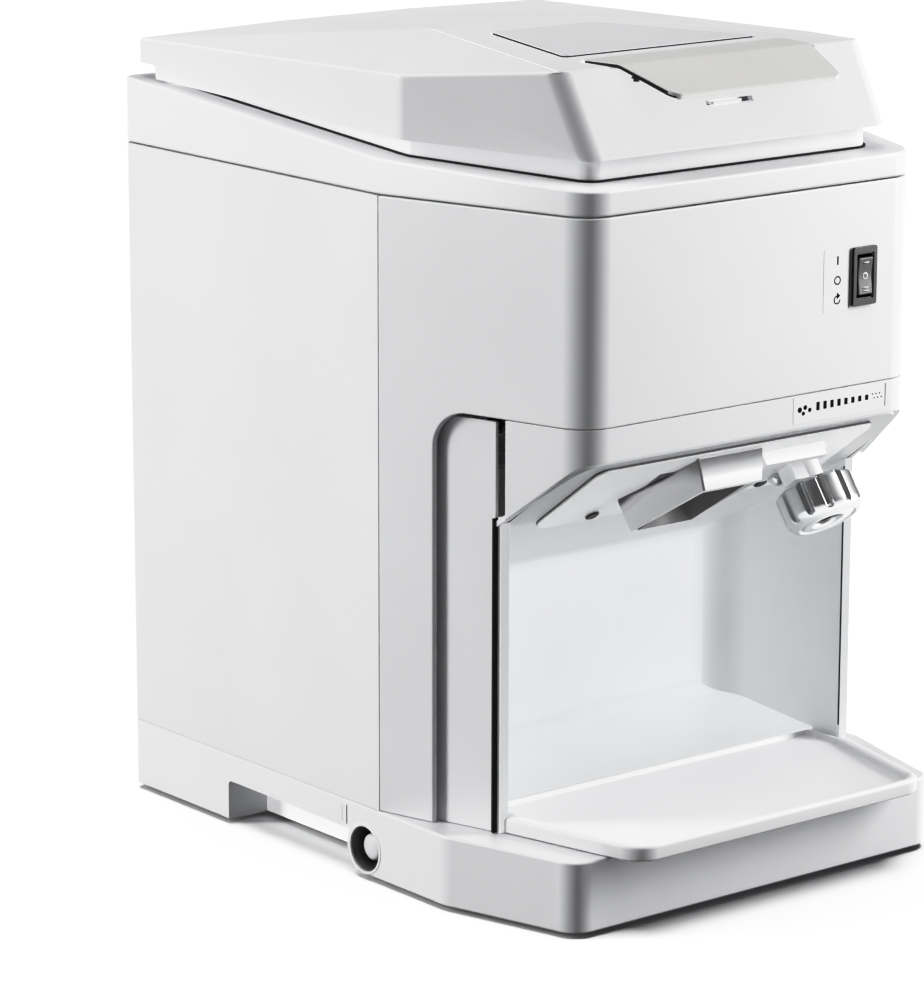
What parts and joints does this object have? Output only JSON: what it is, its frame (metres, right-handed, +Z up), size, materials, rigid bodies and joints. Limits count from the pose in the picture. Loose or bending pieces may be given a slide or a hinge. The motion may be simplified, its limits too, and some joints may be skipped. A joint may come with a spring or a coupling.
{
  "type": "shaved ice machine",
  "caption": "Countertop ice shaver: hinged lid over an ice bin, slanted blade head with chute and coarseness knob, cup bay and slide-out drip tray.",
  "frame": {"origin": "middle of the bounding box's bottom face, on the surface the feet stand on", "axes": "+Z up, the front with the tray faces -Y, +X to the right as seen from the front"},
  "size_m": [0.3, 0.415, 0.445],
  "materials": {
    "shell_white": "satin moulded ABS",
    "panel_white": "satin moulded ABS",
    "liner_white": "satin moulded ABS",
    "lid_white": "satin moulded ABS",
    "handle_grey": "warm light grey, matt",
    "inlay_grey": "light grey, fine matt",
    "bin_plastic": "food-safe plastic",
    "black_plastic": "black moulded",
    "label_film": "printed film",
    "rubber_black": "matt",
    "plated_grip": "plated, bright",
    "steel": "machined",
    "cast_alloy": "cast"
  },
  "bodies": {
    "housing": {"base_pan": "shell_white", "rubber_foot_front_left": "rubber_black", "rubber_foot_front_right": "rubber_black", "rubber_foot_rear_left": "rubber_black", "rubber_foot_rear_right": "rubber_black", "drain_spout_left": "liner_white", "drain_spout_right": "liner_white", "left_side_panel": "panel_white", "right_side_panel": "panel_white", "back_panel": "panel_white", "front_cowl": "shell_white", "nose_fascia": "shell_white", "left_recess_plate": "liner_white", "right_recess_plate": "liner_white", "bay_liner": "liner_white", "blade_cover_plate": "liner_white", "cover_screw_left": "black_plastic", "cover_screw_right": "black_plastic", "blade_disc": "steel", "drum_casing": "cast_alloy", "shaft_bearing": "steel", "drive_motor": "cast_alloy", "motor_bracket": "steel", "drive_belt": "rubber_black", "adjuster_bracket": "shell_white", "bracket_dome_nut": "plated_grip", "adjuster_sleeve": "shell_white", "discharge_chute": "shell_white", "hopper_collar": "shell_white", "ice_bin": "bin_plastic", "hinge_base_left": "steel", "hinge_pin_left": "steel", "hinge_base_right": "steel", "hinge_pin_right": "steel", "switch_bezel": "black_plastic", "switch_label": "label_film", "coarseness_label": "label_film", "rear_vent_hood": "panel_white", "power_inlet": "black_plastic"},
    "lid_assembly": {"lid": "lid_white", "lid_inlay": "inlay_grey", "lid_handle": "handle_grey", "handle_screw_left": "black_plastic", "handle_screw_right": "black_plastic", "latch_tongue": "lid_white", "hinge_leaf_left": "steel", "hinge_leaf_right": "steel"},
    "rocker": {"power_rocker": "black_plastic"},
    "knob": {"adjust_knob": "plated_grip", "adjust_screw": "steel"},
    "blade": {"blade_carrier": "cast_alloy", "shaving_blade": "steel"},
    "rotor": {"rotor_shaft": "steel", "rotor_paddles": "cast_alloy", "driven_pulley": "cast_alloy"},
    "motor_spindle": {"motor_pulley": "steel"},
    "tray": {"drip_tray": "lid_white"},
    "left_plug": {"drain_plug_left": "panel_white"},
    "right_plug": {"drain_plug_right": "panel_white"},
    "interlock": {"interlock_pin": "black_plastic"}
  },
  "joints": [
    {"name": "lid_hinge", "type": "hinge", "parent": "housing", "child": "lid_assembly", "pos_m": [0, 0.186, 0.4245], "axis": [-1, 0, 0], "range_deg": [0, 100]},
    {"name": "rocker_tilt", "type": "hinge", "parent": "housing", "child": "rocker", "pos_m": [0.077, -0.1715, 0.3246], "axis": [1, 0, 0], "range_deg": [-8, 8]},
    {"name": "knob_turn", "type": "hinge", "parent": "housing", "child": "knob", "pos_m": [0.07, -0.13791, 0.22105], "axis": [0, -0.5843, -0.8115], "range_deg": [-180, 180]},
    {"name": "blade_lift", "type": "slide", "parent": "housing", "child": "blade", "axis": [0, 0.5843, 0.8115], "range_m": [-0.0007, 0.0007]},
    {"name": "rotor_spin", "type": "hinge", "parent": "housing", "child": "rotor", "pos_m": [0, -0.1375, 0.22076], "axis": [0, 0.5843, 0.8115], "continuous": true},
    {"name": "motor_spin", "type": "hinge", "parent": "housing", "child": "motor_spindle", "pos_m": [0, -0.032, 0.1448], "axis": [0, 0.5843, 0.8115], "continuous": true},
    {"name": "tray_slide", "type": "slide", "parent": "housing", "child": "tray", "axis": [0, -1, 0], "range_m": [0, 0.12]},
    {"name": "left_plug_pull", "type": "slide", "parent": "housing", "child": "left_plug", "axis": [-1, 0, 0], "range_m": [0, 0.02]},
    {"name": "right_plug_pull", "type": "slide", "parent": "housing", "child": "right_plug", "axis": [1, 0, 0], "range_m": [0, 0.02]},
    {"name": "interlock_press", "type": "slide", "parent": "housing", "child": "interlock", "axis": [0, 0, 1], "range_m": [-0.002, 0], "stiffness_N_per_m": 200}
  ],
  "couplings": [
    {"joint": "blade_lift", "follows": "knob_turn", "m_per_rad": 0.0002},
    {"joint": "motor_spin", "follows": "rotor_spin", "ratio": 2.5}
  ]
}
